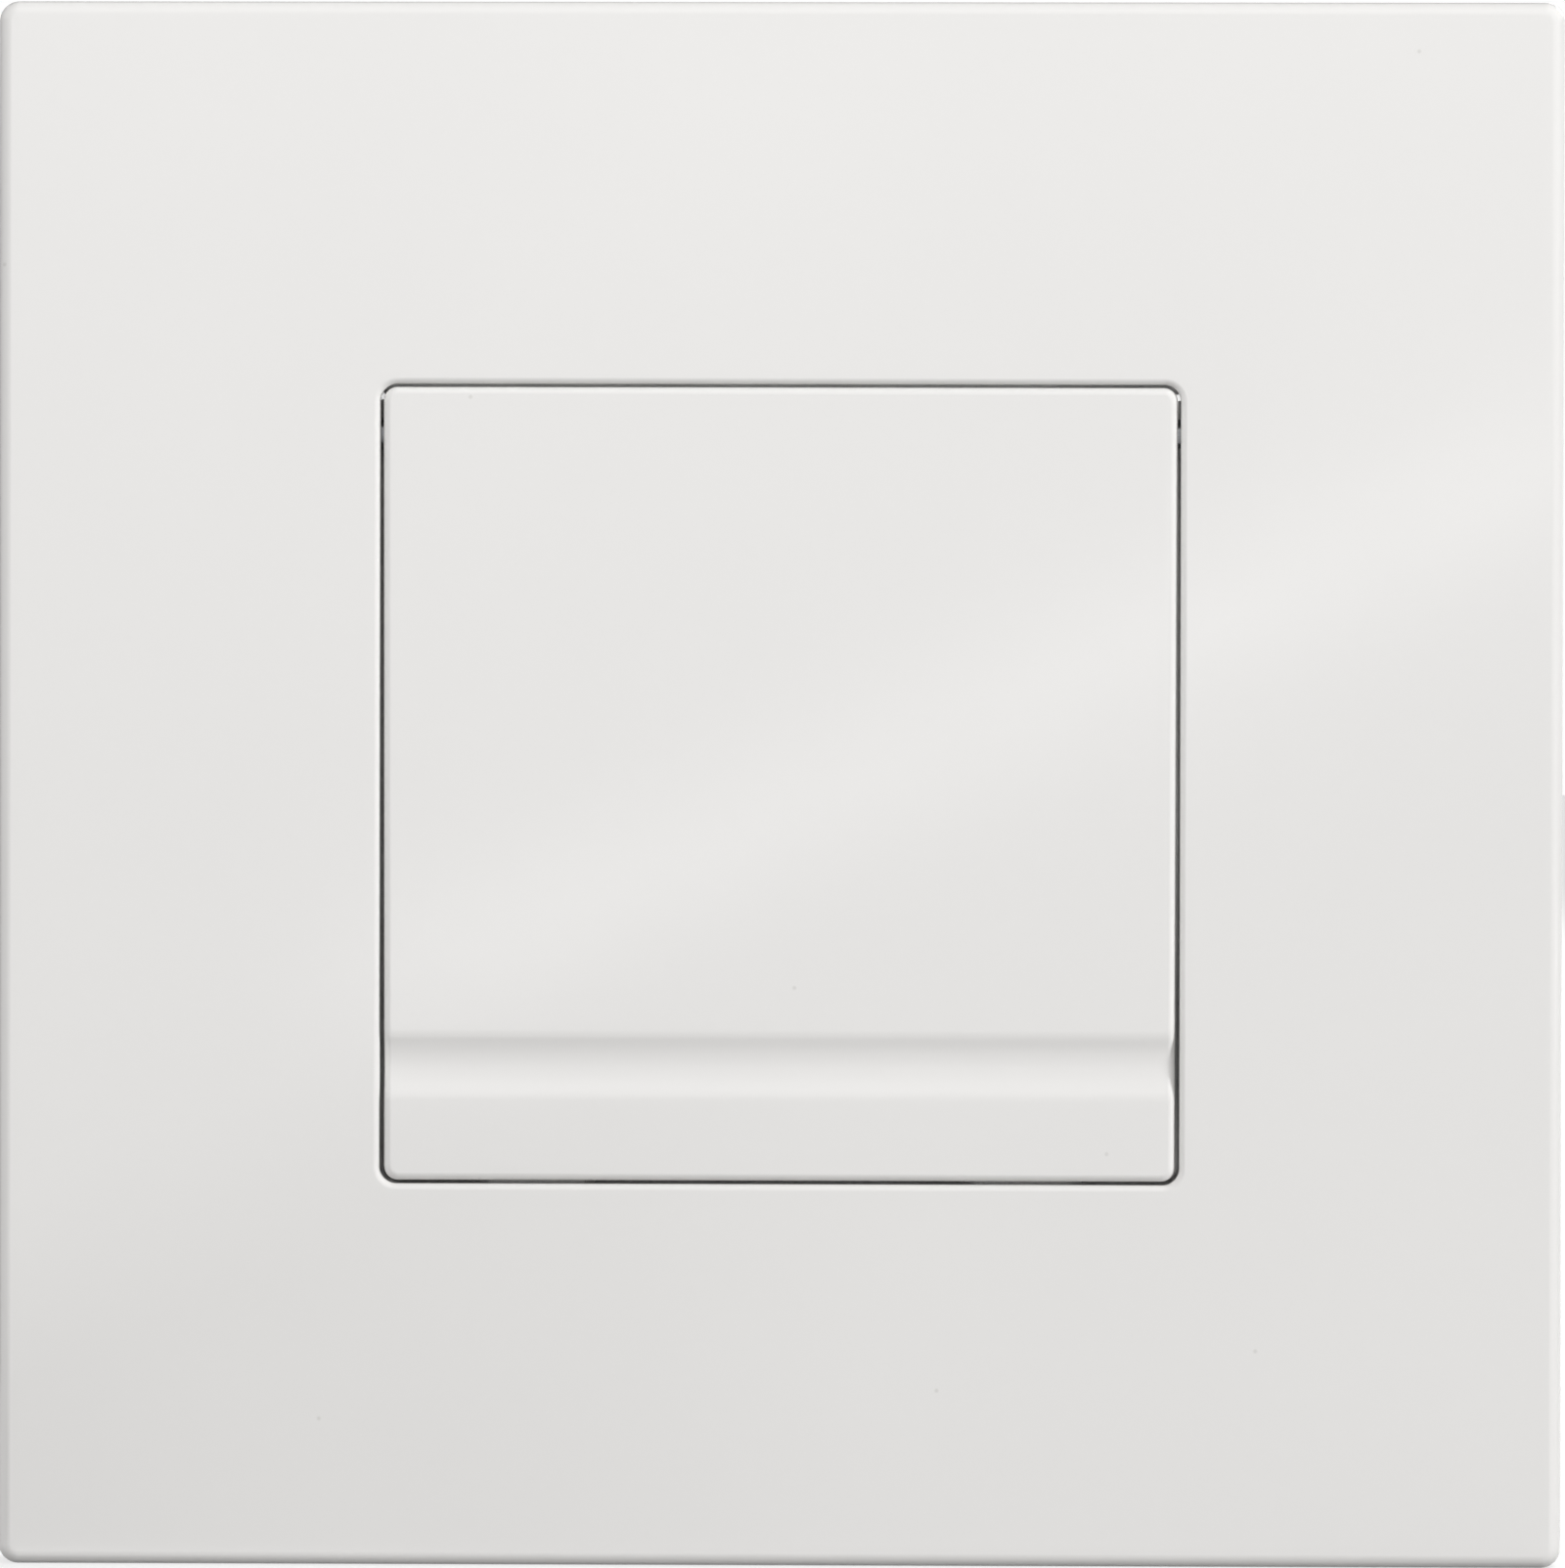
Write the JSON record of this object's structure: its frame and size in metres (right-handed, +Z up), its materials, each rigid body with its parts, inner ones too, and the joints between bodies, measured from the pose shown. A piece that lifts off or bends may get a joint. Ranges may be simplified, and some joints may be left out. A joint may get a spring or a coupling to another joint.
{
  "type": "flush plate",
  "caption": "Square white wall plate for a concealed cistern, with one large hinged push button that has a finger groove near its lower edge and works a spring-loaded push rod behind it.",
  "frame": {"origin": "middle of the plate on the wall plane, midway between the two fixing screws", "axes": "+Z up, +X to the viewer's right, +Y into the wall, so the face looks along -Y"},
  "size_m": [0.16, 0.0762, 0.16],
  "materials": {
    "white_abs": "gloss",
    "frame_abs": "satin",
    "zinc_steel": "satin",
    "spring_steel": "satin",
    "rubber": "matte",
    "rod_plastic": "satin"
  },
  "bodies": {
    "plate": {"cover_plate": "white_abs", "mounting_frame": "frame_abs", "hinge_pin": "zinc_steel", "pin_clip_left": "spring_steel", "pin_clip_right": "spring_steel", "return_spring_left": "spring_steel", "return_spring_right": "spring_steel", "stop_buffer_left": "rubber", "stop_buffer_right": "rubber", "fixing_screw_left": "zinc_steel", "fixing_screw_right": "zinc_steel", "fixing_washer_left": "zinc_steel", "fixing_washer_right": "zinc_steel", "rod_spring": "spring_steel"},
    "button": {"flush_button": "white_abs"},
    "rod": {"push_rod": "zinc_steel", "push_rod_head": "rod_plastic", "push_rod_locknut": "zinc_steel", "push_rod_tip": "rod_plastic", "rod_retaining_ring": "spring_steel"}
  },
  "joints": [
    {"name": "button_hinge", "type": "hinge", "parent": "plate", "child": "button", "pos_m": [0, -0.0055, 0.036], "axis": [1, 0, 0], "range_deg": [0, 6.5], "stiffness_Nm_per_rad": 1, "springref_deg": -11.46, "deforming": ["return_spring_left", "return_spring_right"]},
    {"name": "push_rod_slide", "type": "slide", "parent": "plate", "child": "rod", "axis": [0, 1, 0], "range_m": [0, 0.0062], "stiffness_N_per_m": 120, "springref_m": -0.005, "deforming": ["rod_spring"]}
  ],
  "couplings": [
    {"joint": "push_rod_slide", "follows": "button_hinge", "m_per_rad": 0.054}
  ]
}
